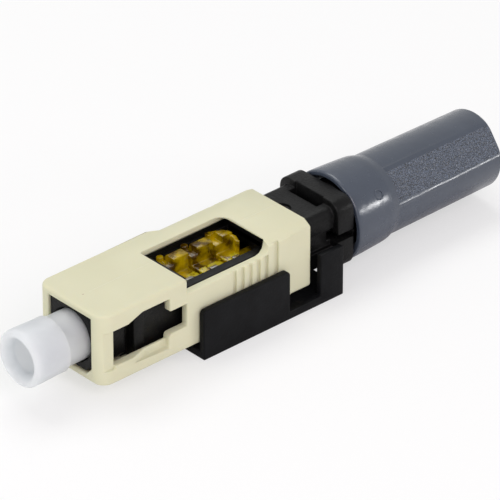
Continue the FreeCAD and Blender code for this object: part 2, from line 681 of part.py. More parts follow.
feature(b, "Pad", "front_boss",
        ring(b, "boss_section", "YZ_Plane", "pf_rear-boss_long", "0", "0", "well_dia-gap"),
        "boss_long+gap")
# splice channel: open at the top, walls lower than the rest of the body
feature(b, "Pocket", "channel_top",
        sketch(b, "channel_top_plan", "XY_Plane", "body_z",
               box("pf_rear-gap", "-body_half-gap", "open_to", "body_half+gap")),
        "body_z-wall_z")
feature(b, "Pocket", "channel",
        sketch(b, "channel_plan", "XY_Plane", "body_z+gap",
               box("pf_rear+chan_wall", "-chan_half", "open_to", "chan_half")),
        "body_z+gap+floor_z")
feature(b, "Pocket", "wedge_slots",
        sketch(b, "wedge_slot_plan", "XY_Plane", "-floor_z+gap",
               box("sp_front+sp_lid+(sp_pitch-sp_lid)/2-wedge_long/2-wedge_play",
                   "-wedge_in-wedge_thick-wedge_play",
                   "sp_front+sp_lid+(sp_pitch-sp_lid)/2+wedge_long/2+wedge_play",
                   "-wedge_in+wedge_play"),
               box("sp_front+sp_pitch+sp_lid+(sp_pitch-sp_lid)/2-wedge_long/2-wedge_play",
                   "-wedge_in-wedge_thick-wedge_play",
                   "sp_front+sp_pitch+sp_lid+(sp_pitch-sp_lid)/2+wedge_long/2+wedge_play",
                   "-wedge_in+wedge_play")), "body_z-floor_z+2*gap")
turned(b, "Groove", "fibre_way",
       sketch(b, "fibre_way_profile", "XZ_Plane", "0",
              [("pf_rear-boss_long-gap", "0"), ("pf_rear-boss_long-gap", "tube_dia/2+holder_gap"),
               ("pf_rear+chan_wall+gap", "tube_dia/2+holder_gap"),
               ("pf_rear+chan_wall+gap", "0")]))
turned(b, "Groove", "cable_way",
       sketch(b, "cable_way_profile", "XZ_Plane", "0",
              [("open_to-gap", "0"), ("open_to-gap", "lead_dia*3/4+holder_gap"),
               ("guide_end+press+gap", "lead_dia*3/4+holder_gap"),
               ("cone_end", "cable_dia/2"), ("jaw_end+gap", "cable_dia/2"),
               ("jaw_end+gap", "0")], drop="tail_drop"))
feature(b, "Pocket", "jaw_slit",
        sketch(b, "jaw_slit_side", "XZ_Plane", "0",
               box("slit_from", "-slit/2", "jaw_end+gap", "slit/2")),
        "2*flange_half+2*gap", both=True)
feature(b, "Pocket", "finger_slit",
        sketch(b, "finger_slit_plan", "XY_Plane", "0",
               box("jaw_end-2*jaw_cone", "-slit/4", "jaw_end+gap", "slit/4")),
        "thread_dia+2*gap", both=True)
slot = feature(b, "Pocket", "side_slot",
               sketch(b, "side_slot_outline", "XZ_Plane", "body_half",
                      box("side_slot_from", "-side_slot_z", "flange_x", "side_slot_z")),
               "side_slot_deep")
mirrored(b, "side_slots", [slot], "XZ_Plane")
feature(b, "Pocket", "top_notch",
        sketch(b, "top_notch_side", "XZ_Plane", "0",
               [("notch_from", "body_z"), ("notch_mid", "notch_floor"),
                ("notch_to", "notch_floor"), ("notch_to", "flange_z+gap"),
                ("notch_from", "flange_z+gap")]), "2*notch_half", both=True)
feature(b, "Pocket", "top_mark",
        ring(b, "top_mark_plan", "XY_Plane", "body_z", "mark_x", "0", "mark_dia"), "mark_deep")

# ---------------------------------------------------------------- wedge clip
b = new_body("wedge_clip")
trough = feature(b, "Pad", "clip_trough",
                 sketch(b, "clip_section", "YZ_Plane", "clip_from",
                        [("-hs_wide/2-clip_gap-clip_thick", "-clip_low"),
                         ("hs_wide/2+clip_gap+clip_thick", "-clip_low"),
                         ("hs_wide/2+clip_gap+clip_thick", "clip_top"),
                         ("hs_wide/2+clip_gap", "clip_top"),
                         ("hs_wide/2+clip_gap", "-clip_low+clip_plate"),
                         ("-hs_wide/2-clip_gap", "-clip_low+clip_plate"),
                         ("-hs_wide/2-clip_gap", "clip_top"),
                         ("-hs_wide/2-clip_gap-clip_thick", "clip_top")]),
                 "clip_rear-clip_from")
slot = feature(b, "Pocket", "clip_slots",
               sketch(b, "clip_slot_side", "XZ_Plane", "0",
                      box("clip_slot_from", "-clip_low+clip_plate", "clip_slot_to",
                          "clip_top+gap")), "hs_wide+4*clip_thick", both=True)
dressed(b, "Fillet", "clip_plate_corners", slot, "clip_round",
        lambda m, d: near(abs(d.y), 1) and near(m.z, size("clip_top"))
        and (near(m.x, size("clip_from")) or near(m.x, size("clip_slot_from"))))
feature(b, "Pad", "clip_pad",
        sketch(b, "clip_pad_plan", "XY_Plane", "-clip_low+clip_plate-gap",
               box("pad_from", "-pad_half", "pad_to", "pad_half")),
        "clip_low-clip_plate+gap-hs_high/2-pad_gap")
for count in (1, 2):
    mid = "sp_front+%d*sp_pitch-(sp_pitch-sp_lid)/2" % count
    feature(b, "Pad", "wedge_%d" % count,
            sketch(b, "wedge_side_%d" % count, "YZ_Plane", mid + "-wedge_long/2",
                   [("-wedge_in-wedge_thick", "-clip_low+clip_plate"),
                    ("-wedge_in", "-clip_low+clip_plate"), ("-wedge_in", "-lid_shelf"),
                    ("-wedge_in-wedge_thick/4", "sp_plane-rest_gap"),
                    ("-wedge_in-wedge_thick*3/4", "sp_plane-rest_gap"),
                    ("-wedge_in-wedge_thick", "-lid_shelf")]), "wedge_long")

# ---------------------------------------------------------------- tail nut
b = new_body("tail_nut", "nut_from", "tail_drop")
turned(b, "Revolution", "nut_turned",
       sketch(b, "nut_profile", "XZ_Plane", "0",
              [("mouth_deep", "thread_dia/2+nut_play"), ("mouth_deep", "mouth_dia/2"),
               ("0", "mouth_dia/2"), ("0", "collar_dia/2-nut_lead"),
               ("nut_lead", "collar_dia/2"), ("collar_end-nut_from", "collar_rear_dia/2"),
               ("step_end-nut_from", "barrel_dia/2"),
               ("nut_end-nut_from-tail_round", "tail_dia/2"),
               ("nut_end-nut_from", "tail_dia/2-tail_round"),
               ("nut_end-nut_from", "cable_dia/2"),
               ("bore_end+nut_cone-nut_from", "cable_dia/2"),
               ("bore_end-nut_from", "thread_dia/2+nut_play")]))


def flat_corner(out, across, sign):
    """A corner out along the flat's normal and across it, the normal flat_turn above -Y."""
    turn = "(flat_turn*1deg)"
    return ("%s*(-(%s)*cos%s+(%s)*sin%s)" % (sign, out, turn, across, turn),
            "%s*((%s)*sin%s+(%s)*cos%s)" % (sign, out, turn, across, turn))


loops = []
for sign in ("1", "-1"):
    loops.append([flat_corner("flat_off", "-collar_dia/2", sign),
                  flat_corner("collar_dia", "-collar_dia/2", sign),
                  flat_corner("collar_dia", "collar_dia/2", sign),
                  flat_corner("flat_off", "collar_dia/2", sign)])
feature(b, "Pocket", "grip_flats",
        sketch(b, "flat_section", "YZ_Plane", "nut_end-nut_from+gap", *loops),
        "nut_end-step_end+gap")

# ---------------------------------------------------------------- dust cap
b = new_body("dust_cap", "cap_front")
turned(b, "Revolution", "cap_turned",
       sketch(b, "cap_profile", "XZ_Plane", "0",
              [("cap_dish", "0"), ("cap_dish", "cap_dish_dia/2"),
               ("gap", "cap_dish_dia/2+cap_dish_fall"), ("0", "cap_front_dia/2-cap_round"),
               ("cap_round/4", "cap_front_dia/2-cap_round/4"), ("cap_round", "cap_front_dia/2"),
               ("cap_rear-cap_front", "cap_rear_dia/2"), ("cap_rear-cap_front", "spigot_dia/2"),
               ("spigot_end-cap_front", "spigot_dia/2"),
               ("spigot_end-cap_front", "cap_bore/2"), ("cap_floor-cap_front", "cap_bore/2"),
               ("cap_floor-cap_front", "0")]))

# ---------------------------------------------------------------- checks and export
doc.recompute()
for item in doc.Objects:
    bad = [word for word in item.State if word in ("Invalid", "Error")]
    if bad:
        raise RuntimeError("%s is %s" % (item.Name, bad))
wrong = [item.Label for item in NODES
         if item.Shape.isNull() or not item.Shape.isValid() or not item.Shape.Solids]
if wrong:
    raise RuntimeError("no valid solid: %s" % wrong)
for item in NODES:
    item.Shape.exportStep("parts/%s.step" % item.Label)
    print("%-20s solids %d volume %9.3f" % (item.Label, len(item.Shape.Solids), item.Shape.Volume))
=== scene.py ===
import math

import bmesh
import bpy
from mathutils import Matrix, Vector


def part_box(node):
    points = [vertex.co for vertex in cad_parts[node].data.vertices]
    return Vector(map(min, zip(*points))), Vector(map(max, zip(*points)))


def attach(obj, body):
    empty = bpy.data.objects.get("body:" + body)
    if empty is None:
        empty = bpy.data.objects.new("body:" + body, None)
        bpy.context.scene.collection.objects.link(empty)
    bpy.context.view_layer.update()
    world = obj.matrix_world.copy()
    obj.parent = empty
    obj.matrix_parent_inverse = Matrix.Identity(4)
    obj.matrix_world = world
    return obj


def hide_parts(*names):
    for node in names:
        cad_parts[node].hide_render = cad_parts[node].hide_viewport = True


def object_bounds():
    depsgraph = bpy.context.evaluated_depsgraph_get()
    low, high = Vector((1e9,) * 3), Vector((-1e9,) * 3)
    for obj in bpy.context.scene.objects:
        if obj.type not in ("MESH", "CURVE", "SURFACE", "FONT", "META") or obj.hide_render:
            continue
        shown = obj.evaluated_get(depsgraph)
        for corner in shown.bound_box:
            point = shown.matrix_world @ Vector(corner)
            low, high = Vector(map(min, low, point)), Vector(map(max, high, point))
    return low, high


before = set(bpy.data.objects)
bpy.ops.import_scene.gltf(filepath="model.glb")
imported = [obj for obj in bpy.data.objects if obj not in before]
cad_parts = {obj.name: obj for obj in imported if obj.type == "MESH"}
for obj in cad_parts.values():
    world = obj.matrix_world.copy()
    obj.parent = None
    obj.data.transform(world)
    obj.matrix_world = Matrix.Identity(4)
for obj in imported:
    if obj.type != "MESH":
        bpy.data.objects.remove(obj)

# A field-fitted SC fibre connector standing on its wedge clip, nose to the left.
MM = 0.001
OPAQUE = 1
cad_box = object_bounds()


# ------------------------------------------------------------------ materials
class Finish:
    """A node material built up step by step round one Principled shader."""

    def __init__(self, name, colour, roughness, **sockets):
        self.material = bpy.data.materials.new(name)
        self.material.use_nodes = True
        self.tree = self.material.node_tree
        self.shader = self.tree.nodes["Principled BSDF"]
        self.shader.inputs["Base Color"].default_value = (*colour, OPAQUE)
        self.shader.inputs["Roughness"].default_value = roughness
        for socket, value in sockets.items():
            self.shader.inputs[socket.replace("_", " ")].default_value = value
        self.place = self.tree.nodes.new("ShaderNodeTexCoord").outputs["Object"]
        self.colour = None
        self.normal = None

    def node(self, kind, **values):
        made = self.tree.nodes.new("ShaderNode" + kind)
        for key, value in values.items():
            if key in made.inputs:
                made.inputs[key].default_value = value
            else:
                setattr(made, key, value)
        return made

    def noise(self, scale, detail=2.0, stretch=(1, 1, 1)):
        spread = self.node("Mapping", Scale=stretch)
        self.tree.links.new(self.place, spread.inputs["Vector"])
        grain = self.node("TexNoise", Scale=scale, Detail=detail)
        self.tree.links.new(spread.outputs["Vector"], grain.inputs["Vector"])
        return grain.outputs["Fac"]

    def math(self, operation, *values):
        made = self.node("Math", operation=operation)
        for socket, value in zip(made.inputs, values):
            if isinstance(value, (int, float)):
                socket.default_value = value
            else:
                self.tree.links.new(value, socket)
        return made.outputs["Value"]

    def along(self, axis):
        parts = self.node("SeparateXYZ")
        self.tree.links.new(self.place, parts.inputs["Vector"])
        return parts.outputs[axis]

    def ramp(self, source, low, high, first, last):
        made = self.node("ValToRGB")
        made.color_ramp.elements[0].position = low
        made.color_ramp.elements[1].position = high
        made.color_ramp.elements[0].color = (*first, OPAQUE)
        made.color_ramp.elements[1].color = (*last, OPAQUE)
        self.tree.links.new(source, made.inputs["Fac"])
        return made.outputs["Color"]

    def colour_between(self, source, low, high, first, last):
        self.colour = self.ramp(source, low, high, first, last)
        self.tree.links.new(self.colour, self.shader.inputs["Base Color"])

    def tint(self, amount, colour):
        """Mixes a second colour over the first by an amount from 0 to 1."""
        made = self.node("Mix", data_type="RGBA")
        self.tree.links.new(amount, made.inputs["Factor"])
        self.tree.links.new(self.colour, made.inputs["A"])
        made.inputs["B"].default_value = (*colour, OPAQUE)
        self.colour = made.outputs["Result"]
        self.tree.links.new(self.colour, self.shader.inputs["Base Color"])

    def roughness_between(self, source, low, high, first, last):
        spread = self.node("MapRange")
        for socket, value in (("From Min", low), ("From Max", high),
                              ("To Min", first), ("To Max", last)):
            spread.inputs[socket].default_value = value
        self.tree.links.new(source, spread.inputs["Value"])
        self.tree.links.new(spread.outputs["Result"], self.shader.inputs["Roughness"])

    def bump(self, source, depth, strength=1.0):
        made = self.node("Bump", Strength=strength, Distance=depth)
        self.tree.links.new(source, made.inputs["Height"])
        if self.normal:
            self.tree.links.new(self.normal, made.inputs["Normal"])
        self.normal = made.outputs["Normal"]
        self.tree.links.new(self.normal, self.shader.inputs["Normal"])


TOP_FROM = 3.55 * MM             # everything above this on the housing is its top face
PARTING_HALF, PARTING_FROM = 0.035 * MM, 2.4 * MM
SPECK_X, SPECK_HALF_LONG, SPECK_HALF_WIDE = 1.67 * MM, 0.09 * MM, 0.06 * MM


def beige_plastic():
    """Satin beige plastic with the mould's parting line and one small speck on its top."""
    made = Finish("beige_housing", (0.69, 0.67, 0.48), 0.46, Subsurface_Weight=0.15,
                  Subsurface_Scale=0.0009, Subsurface_Radius=(1.0, 0.75, 0.45),
                  Specular_IOR_Level=0.22)
    made.colour_between(made.noise(220, 3), 0.3, 0.7, (0.672, 0.660, 0.468), (0.698, 0.686, 0.492))
    on_top = made.math("GREATER_THAN", made.along("Z"), TOP_FROM)
    off_line = made.math("ABSOLUTE", made.along("Y"))
    line = made.math("MULTIPLY", on_top, made.math("LESS_THAN", off_line, PARTING_HALF))
    line = made.math("MULTIPLY", line, made.math("GREATER_THAN", made.along("X"), PARTING_FROM))
    made.tint(made.math("MULTIPLY", line, 0.45), (0.80, 0.79, 0.64))
    from_speck = made.math("ABSOLUTE", made.math("SUBTRACT", made.along("X"), SPECK_X))
    speck = made.math("MULTIPLY", made.math("LESS_THAN", from_speck, SPECK_HALF_LONG),
                      made.math("LESS_THAN", off_line, SPECK_HALF_WIDE))
    speck_on_top = made.math("MULTIPLY", speck, on_top)
    made.tint(made.math("MULTIPLY", speck_on_top, 0.6), (0.42, 0.28, 0.18))
    made.roughness_between(made.noise(900, 2), 0.3, 0.7, 0.42, 0.52)
    made.bump(made.noise(9000, 2), 0.000003)
    made.bump(line, 0.00001)
    return made.material


def shade(colour, times):
    return tuple(times * part for part in colour)


def black_plastic(name, roughness, grain, depth, colour, gloss):
    """Near-black plastic whose fine moulded grain shows only where light grazes it."""
    made = Finish(name, colour, roughness, Specular_IOR_Level=gloss)
    made.colour_between(made.noise(500, 3), 0.35, 0.75, colour, shade(colour, 1.8))
    made.roughness_between(made.noise(1500, 2), 0.3, 0.7, roughness - 0.05, roughness + 0.08)
    made.bump(made.noise(grain, 3), depth)
    return made.material


GREY = (0.048, 0.060, 0.084)


def grey_plastic():
    """Glossy dark grey plastic, slightly wavy, for the nut."""
    made = Finish("grey_nut", GREY, 0.23, Specular_IOR_Level=0.6)
    made.colour_between(made.noise(350, 3), 0.3, 0.7, GREY, shade(GREY, 1.12))
    made.roughness_between(made.noise(1200, 3), 0.3, 0.7, 0.17, 0.29)
    made.bump(made.noise(900, 2), 0.000028)
    made.bump(made.noise(6000, 2), 0.0000015)
    return made.material


def grain_and_painted_glints():
    """The grips' eroded grain; its strong light and dark colour flecks are painted glints."""
    made = Finish("grip_grain_painted_glints", GREY, 0.22, Specular_IOR_Level=0.6)
    # painted glints: colour flecks from well under to twice the grey stand in for the grain's
    # sparkle
    made.colour_between(made.noise(8000, 2), 0.38, 0.62, shade(GREY, 0.40), shade(GREY, 2.0))
    made.roughness_between(made.noise(4000, 2), 0.3, 0.7, 0.16, 0.34)
    made.bump(made.noise(7000, 2.5), 0.00012)
    return made.material


def white_plastic():
    """Milky, slightly bluish plastic that light soaks through."""
    made = Finish("white_cap", (0.60, 0.63, 0.65), 0.34, Subsurface_Weight=1.0,
                  Subsurface_Scale=0.003, Subsurface_Radius=(1.0, 1.0, 1.0),
                  Specular_IOR_Level=0.25)
    made.colour_between(made.noise(300, 3), 0.3, 0.7, (0.57, 0.595, 0.615), (0.63, 0.655, 0.67))
    made.roughness_between(made.noise(900, 2), 0.3, 0.7, 0.28, 0.42)
    made.bump(made.noise(1100, 2), 0.000008)
    return made.material


# where the painted glow lies: the amber's low tabs beside the near wall
TABS_BELOW, TABS_BESIDE = 1.35 * MM, -0.7 * MM


def amber_resin():
    """Clear yellow-brown resin; its dark and bright colour patches are painted internal
    reflections and shade, and the bright yellow spots on its low tabs beside the near wall are
    painted glow.
    """
    made = Finish("amber_resin", (0.5, 0.36, 0.01), 0.07, Transmission_Weight=0.58, IOR=1.45,
                  Specular_IOR_Level=0.3)
    # painted internal reflections and shade: the colour runs in patches from dark brown to bright
    # yellow
    made.colour_between(made.noise(620, 4), 0.42, 0.66, (0.13, 0.065, 0.001), (1.0, 0.71, 0.003))
    # painted glow: bright yellow spots on the low tabs beside the near wall
    tabs = made.math("MULTIPLY", made.math("LESS_THAN", made.along("Z"), TABS_BELOW),
                     made.math("LESS_THAN", made.along("Y"), TABS_BESIDE))
    painted_glint_spots = made.math("GREATER_THAN", made.noise(1300, 3), 0.47)
    painted_glow = made.math("MULTIPLY", tabs, painted_glint_spots)
    made.tint(made.math("MULTIPLY", painted_glow, 0.9), (1.0, 0.86, 0.02))
    made.roughness_between(made.noise(1100, 2), 0.3, 0.7, 0.02, 0.09)
    made.bump(made.noise(2600, 3), 0.00003)
    return made.material


def bright_metal(name, roughness):
    """Bright metal with fine drawing lines along X."""
    made = Finish(name, (0.62, 0.62, 0.60), roughness, Metallic=1.0)
    made.colour_between(made.noise(400, 2), 0.3, 0.7, (0.55, 0.55, 0.54), (0.68, 0.68, 0.66))
    made.roughness_between(made.noise(2500, 2, (0.1, 1, 1)), 0.3, 0.7, roughness, roughness + 0.12)
    return made.material


def ceramic():
    """Polished white ceramic."""
    made = Finish("white_ceramic", (0.86, 0.86, 0.83), 0.12)
    made.colour_between(made.noise(500, 2), 0.3, 0.7, (0.84, 0.84, 0.81), (0.88, 0.88, 0.86))
    made.roughness_between(made.noise(900, 2), 0.3, 0.7, 0.08, 0.16)
    return made.material


def glass_fibre():
    """Bare clear glass."""
    made = Finish("glass_fibre", (0.95, 0.96, 0.97), 0.05, Transmission_Weight=0.9)
    made.roughness_between(made.noise(900, 2), 0.3, 0.7, 0.04, 0.08)
    return made.material


beige = beige_plastic()
black = black_plastic("black_body", 0.38, 3600, 0.00004, (0.0034, 0.0034, 0.0035), 0.14)
clip_black = black_plastic("black_clip", 0.42, 4600, 0.00002, (0.0036, 0.0038, 0.0044), 0.095)
grey = grey_plastic()
# the grips' grain material also carries painted glints in its colour
grain = grain_and_painted_glints()
white = white_plastic()
amber = amber_resin()
steel = bright_metal("spring_steel", 0.22)
holder_metal = bright_metal("holder_metal", 0.28)
zirconia = ceramic()
glass = glass_fibre()

FINISHES = {
    "outer_housing": beige, "plug_frame": black, "main_body": black, "wedge_clip": clip_black,
    "tail_nut": grey, "dust_cap": white, "ferrule": zirconia, "ferrule_holder": holder_metal,
    "fibre_stub": glass, "ferrule_spring": steel, "splice_base": amber,
    "splice_lid_front": amber, "splice_lid_mid": amber, "splice_lid_rear": amber,
    "clamp_spring_front": steel, "clamp_spring_mid": steel, "clamp_spring_rear": steel,
}
for node, finish in FINISHES.items():
    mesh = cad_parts[node].data
    mesh.materials.clear()
    mesh.materials.append(finish)


# ------------------------------------------------------------------ modelling helpers
def deselect():
    if bpy.context.object and bpy.context.object.mode != "OBJECT":
        bpy.ops.object.mode_set(mode="OBJECT")
    bpy.ops.object.select_all(action="DESELECT")


def pick(piece):
    deselect()
    piece.select_set(True)
    bpy.context.view_layer.objects.active = piece


def settle(piece, node, body):
    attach(piece, body)
    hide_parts(node)


NEARLY_STRAIGHT = math.radians(150)
IN_LINE = math.radians(140)
HAIR = 1e-9                      # lengths and heights below these count as nothing
SLIVER = 1e-7
EVENING_PASSES, MOST_STEP = 4, 1.5


def room_beside(edge, face, sharp):
    """The widest rounding that fits along the edge on this face without meeting another."""
    start, end = (corner.co for corner in edge.verts)
    length = (end - start).length
    along = (end - start) / length
    loop = next(part for part in edge.link_loops if part.face == face)
    inward = face.normal.cross(along) * (1 if loop.vert == edge.verts[0] else -1)
    room = math.inf
    for other in face.edges:
        if other is edge:
            continue
        shared = [corner for corner in other.verts if corner in edge.verts]
        if shared:
            corner = shared[0]
            way = other.other_vert(corner).co - corner.co
            here = edge.other_vert(corner).co - corner.co
            turn = here.angle(way, math.pi)
            if way.dot(inward) < 0 or turn > NEARLY_STRAIGHT:
                continue
            if other in sharp:
                room = min(room, min(length, way.length) * math.tan(turn / 2))
            else:
                room = min(room, 2 * way.length * math.sin(turn))
            continue
        ends = [((corner.co - start).dot(along), (corner.co - start).dot(inward))
                for corner in other.verts]
        (near_x, near_h), (far_x, far_h) = ends
        for cut in (0.0, length / 2, length):
            if min(near_x, far_x) <= cut <= max(near_x, far_x) and abs(far_x - near_x) > HAIR:
                height = near_h + (far_h - near_h) * (cut - near_x) / (far_x - near_x)
                if height > SLIVER:
                    room = min(room, height)
        for x, height in ends:
            if height > SLIVER and max(-x, x - length, 0) < height:
                room = min(room, height)
    return room


SHARP_FROM = math.radians(32)
ROOM_SHARE = 0.42                # the part of the room beside an edge that its rounding takes


def soften(piece, radius, segments=3, radius_at=None):
    """Rounds every sharp edge by the radius, or by less where the faces beside it are narrow."""
    shape = bmesh.new()
    shape.from_mesh(piece.data)
    weight = shape.edges.layers.float.new("bevel_weight_edge")
    sharp = {edge for edge in shape.edges if len(edge.link_faces) == 2
             and edge.calc_face_angle(0) > SHARP_FROM}
    widest = {}
    for edge in sharp:
        middle = (edge.verts[0].co + edge.verts[1].co) / 2
        wanted = (radius_at(middle) if radius_at else radius) * MM
        room = min(room_beside(edge, face, sharp) for face in edge.link_faces)
        widest[edge] = min(wanted, ROOM_SHARE * room)
    # an edge that runs on in line with another is rounded at most half as much again
    for _ in range(EVENING_PASSES):
        for edge in sharp:
            for corner in edge.verts:
                for other in corner.link_edges:
                    if other in sharp and other is not edge:
                        turn = (edge.other_vert(corner).co - corner.co).angle(
                            other.other_vert(corner).co - corner.co, 0)
                        if turn > IN_LINE:
                            widest[edge] = min(widest[edge], MOST_STEP * widest[other])
    for edge, width in widest.items():
        edge[weight] = width / (radius * MM)
    shape.to_mesh(piece.data)
    shape.free()
    pick(piece)
    bevel = piece.modifiers.new("edge_rounding", "BEVEL")
    bevel.width = radius * MM
    bevel.segments = segments
    bevel.limit_method = "WEIGHT"
    bevel.use_clamp_overlap = False
    bevel.harden_normals = False
    bpy.ops.object.modifier_apply(modifier=bevel.name)
    bpy.ops.object.shade_smooth_by_angle(angle=SHARP_FROM)


WELD = 0.002 * MM
FLAT_WITHIN = math.radians(0.6)


def moulded(node, name, radius, body, segments=3, radius_at=None):
    """The node's solid with the small rounded edges that moulding leaves."""
    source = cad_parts[node]
    piece = source.copy()
    piece.data = source.data.copy()
    piece.name = name
    piece.parent = None
    bpy.context.scene.collection.objects.link(piece)
    pick(piece)
    bpy.ops.object.mode_set(mode="EDIT")
    bpy.ops.mesh.select_all(action="SELECT")
    bpy.ops.mesh.remove_doubles(threshold=WELD)
    bpy.ops.mesh.dissolve_limited(angle_limit=FLAT_WITHIN)
    bpy.ops.object.mode_set(mode="OBJECT")
    soften(piece, radius, segments, radius_at)
    settle(piece, node, body)


TURNED_WELD = 0.0005 * MM
TURNED_SMOOTH = math.radians(40)


def turned(name, rings, centre, finish, segments=144):
    """A shell turned about a line along X: a ring of edges drawn out through (x, radius) rings."""
    deselect()
    x, radius = rings[0]
    bpy.ops.mesh.primitive_circle_add(vertices=segments, radius=radius, location=(x, *centre),
                                      rotation=(0, math.pi / 2, 0))
    piece = bpy.context.object
    piece.name = name
    bpy.ops.object.transform_apply(location=True, rotation=True, scale=False)
    bpy.ops.object.mode_set(mode="EDIT")
    bpy.ops.mesh.select_all(action="SELECT")
    for next_x, next_radius in rings[1:]:
        bpy.ops.mesh.extrude_region_move(TRANSFORM_OT_translate={"value": (next_x - x, 0, 0)})
        grow = next_radius / radius
        bpy.ops.transform.resize(value=(1, grow, grow), center_override=(next_x, *centre))
        x, radius = next_x, next_radius
    bpy.ops.mesh.select_all(action="SELECT")
    bpy.ops.mesh.remove_doubles(threshold=TURNED_WELD)
    bpy.ops.mesh.fill_holes(sides=0)
    bpy.ops.mesh.select_all(action="SELECT")
    bpy.ops.mesh.normals_make_consistent(inside=False)
    bpy.ops.object.mode_set(mode="OBJECT")
    piece.data.materials.append(finish)
    return piece


# ------------------------------------------------------------------ moulded pieces
RIM_RADIUS, EDGE_RADIUS, NOTCH_RADIUS = 0.36, 0.20, 0.05
BODY_RADIUS, JAW_RADIUS, JAWS_FROM = 0.14, 0.06, 30 * MM
FRAME_RADIUS, CLIP_RADIUS = 0.12, 0.14
LID_RADIUS, CLAMP_RADIUS, BASE_RADIUS = 0.10, 0.04, 0.08
NOTCH_X, NOTCH_BESIDE, NOTCH_ABOVE = (9.4, 10.9), -3.7, 2.9
WINDOW_X, WINDOW_Y, WINDOW_ABOVE = (10.0, 20.6), (-4.6, 2.1), 3.5


def housing_radius(middle):
    """The splice window's rim is rounded more than the other edges, and its notch hardly."""
    x, y, z = middle / MM
    if NOTCH_X[0] < x < NOTCH_X[1] and y < NOTCH_BESIDE and z > NOTCH_ABOVE:
        return NOTCH_RADIUS
    at_window = (WINDOW_X[0] < x < WINDOW_X[1] and WINDOW_Y[0] < y < WINDOW_Y[1]
                 and z > WINDOW_ABOVE)
    return RIM_RADIUS if at_window else EDGE_RADIUS


def body_radius(middle):
    """The jaws under the nut are thin, so their edges are rounded less."""
    return JAW_RADIUS if middle.x > JAWS_FROM else BODY_RADIUS


moulded("outer_housing", "housing_shell", RIM_RADIUS, "housing",
        segments=4, radius_at=housing_radius)
moulded("plug_frame", "latch_frame", FRAME_RADIUS, "body")
moulded("main_body", "splice_body", BODY_RADIUS, "body", radius_at=body_radius)
moulded("wedge_clip", "clip_trough", CLIP_RADIUS, "clip")
for place in ("front", "mid", "rear"):
    moulded("splice_lid_" + place, "lid_" + place, LID_RADIUS, "ferrule_unit")
    moulded("clamp_spring_" + place, "clamp_" + place, CLAMP_RADIUS, "ferrule_unit")
moulded("splice_base", "vee_base", BASE_RADIUS, "ferrule_unit")

# ------------------------------------------------------------------ cable nut
nut_low, nut_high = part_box("tail_nut")
NUT_AXIS = (0.0, (nut_low[2] + nut_high[2]) / 2)
NUT_FRONT, NUT_END = nut_low[0], nut_high[0]
COLLAR_END, BARREL_FROM = 36.35 * MM, 37.35 * MM
BORE, MOUTH, CABLE = 3.4 * MM, 4.1 * MM, 1.6 * MM
MOUTH_END = NUT_FRONT + 1.2 * MM
FLAT_OUT, FLAT_TURN, BLEND = 3.58 * MM, math.radians(37), 0.05 * MM
SOFTEST = 60                     # past this many blends the flat is simply flat
BARREL_VERTS_FROM, FLATS_FROM = BARREL_FROM - 0.001 * MM, BARREL_FROM + 0.05 * MM
ON_FLAT, SQUARE_ON = 0.03 * MM, 0.999
TAPER_FROM, TAPER_TO = 45 * MM, 48 * MM      # the bore narrows to the cable here

nut = turned("cable_nut", [
    (MOUTH_END, MOUTH), (NUT_FRONT, MOUTH), (NUT_FRONT, 4.40 * MM),
    (NUT_FRONT + 0.05 * MM, 4.51 * MM), (NUT_FRONT + 0.15 * MM, 4.56 * MM),
    (NUT_FRONT + 0.3 * MM, 4.57 * MM), (NUT_FRONT + 1.5 * MM, 4.53 * MM),
    (COLLAR_END - 0.5 * MM, 4.39 * MM), (COLLAR_END, 4.34 * MM),
    (COLLAR_END + 0.25 * MM, 4.28 * MM), (BARREL_FROM - 0.25 * MM, 4.13 * MM),
    (BARREL_FROM - 0.03 * MM, 4.085 * MM), (BARREL_FROM, 4.084 * MM),
    (NUT_END - 0.25 * MM, 3.95 * MM), (NUT_END - 0.16 * MM, 3.93 * MM),
    (NUT_END - 0.06 * MM, 3.87 * MM), (NUT_END, 3.76 * MM), (NUT_END, CABLE),
    (TAPER_TO, CABLE), (TAPER_FROM, BORE), (MOUTH_END, BORE), (MOUTH_END, MOUTH)],
    NUT_AXIS, grey, segments=360)


def outwards(turn):
    """The direction square to the nut's axis at this turn up from the near side."""
    return Vector((0, -math.cos(turn), math.sin(turn)))


def from_axis(point):
    return Vector((0, point[1] - NUT_AXIS[0], point[2] - NUT_AXIS[1]))


# two flats are pressed into the barrel, with their long edges rounded
normals = [side * outwards(FLAT_TURN) for side in (1, -1)]
for corner in nut.data.vertices:
    if corner.co.x > BARREL_VERTS_FROM and from_axis(corner.co).length > FLAT_OUT:
        for normal in normals:
            over = from_axis(corner.co).dot(normal) - FLAT_OUT
            sunk = BLEND * math.log(1 + math.exp(min(over / BLEND, SOFTEST)))
            corner.co -= normal * sunk

# a small plain ring stands a little proud of the collar; its foot is left open under the surface
MARK_X, MARK_OUT, MARK_TURN = 35.0 * MM, 4.425 * MM, math.radians(36)
MARK_AT = Vector((MARK_X, *NUT_AXIS)) + MARK_OUT * outwards(MARK_TURN)
MARK_RADIUS, MARK_ROOT = 0.53 * MM, -0.06 * MM
deselect()
bpy.ops.mesh.primitive_circle_add(vertices=48, radius=MARK_RADIUS, location=(0, 0, MARK_ROOT))
mark = bpy.context.object
bpy.ops.object.transform_apply(location=True, rotation=True, scale=False)
bpy.ops.object.mode_set(mode="EDIT")
bpy.ops.mesh.select_all(action="SELECT")
for rise, grow in ((0.10, 1.0), (0.03, 0.94), (0.0, 0.86), (-0.03, 0.93), (-0.10, 1.0)):
    bpy.ops.mesh.extrude_region_move(TRANSFORM_OT_translate={"value": (0, 0, rise * MM)})
    bpy.ops.transform.resize(value=(grow, grow, 1), center_override=(0, 0, 0))
bpy.ops.mesh.select_all(action="SELECT")
bpy.ops.mesh.normals_make_consistent(inside=False)
bpy.ops.object.mode_set(mode="OBJECT")
mark_turned = Matrix.Rotation(math.pi / 2 - MARK_TURN, 4, "X")
mark.data.transform(Matrix.Translation(MARK_AT) @ mark_turned)
mark.data.materials.append(grey)
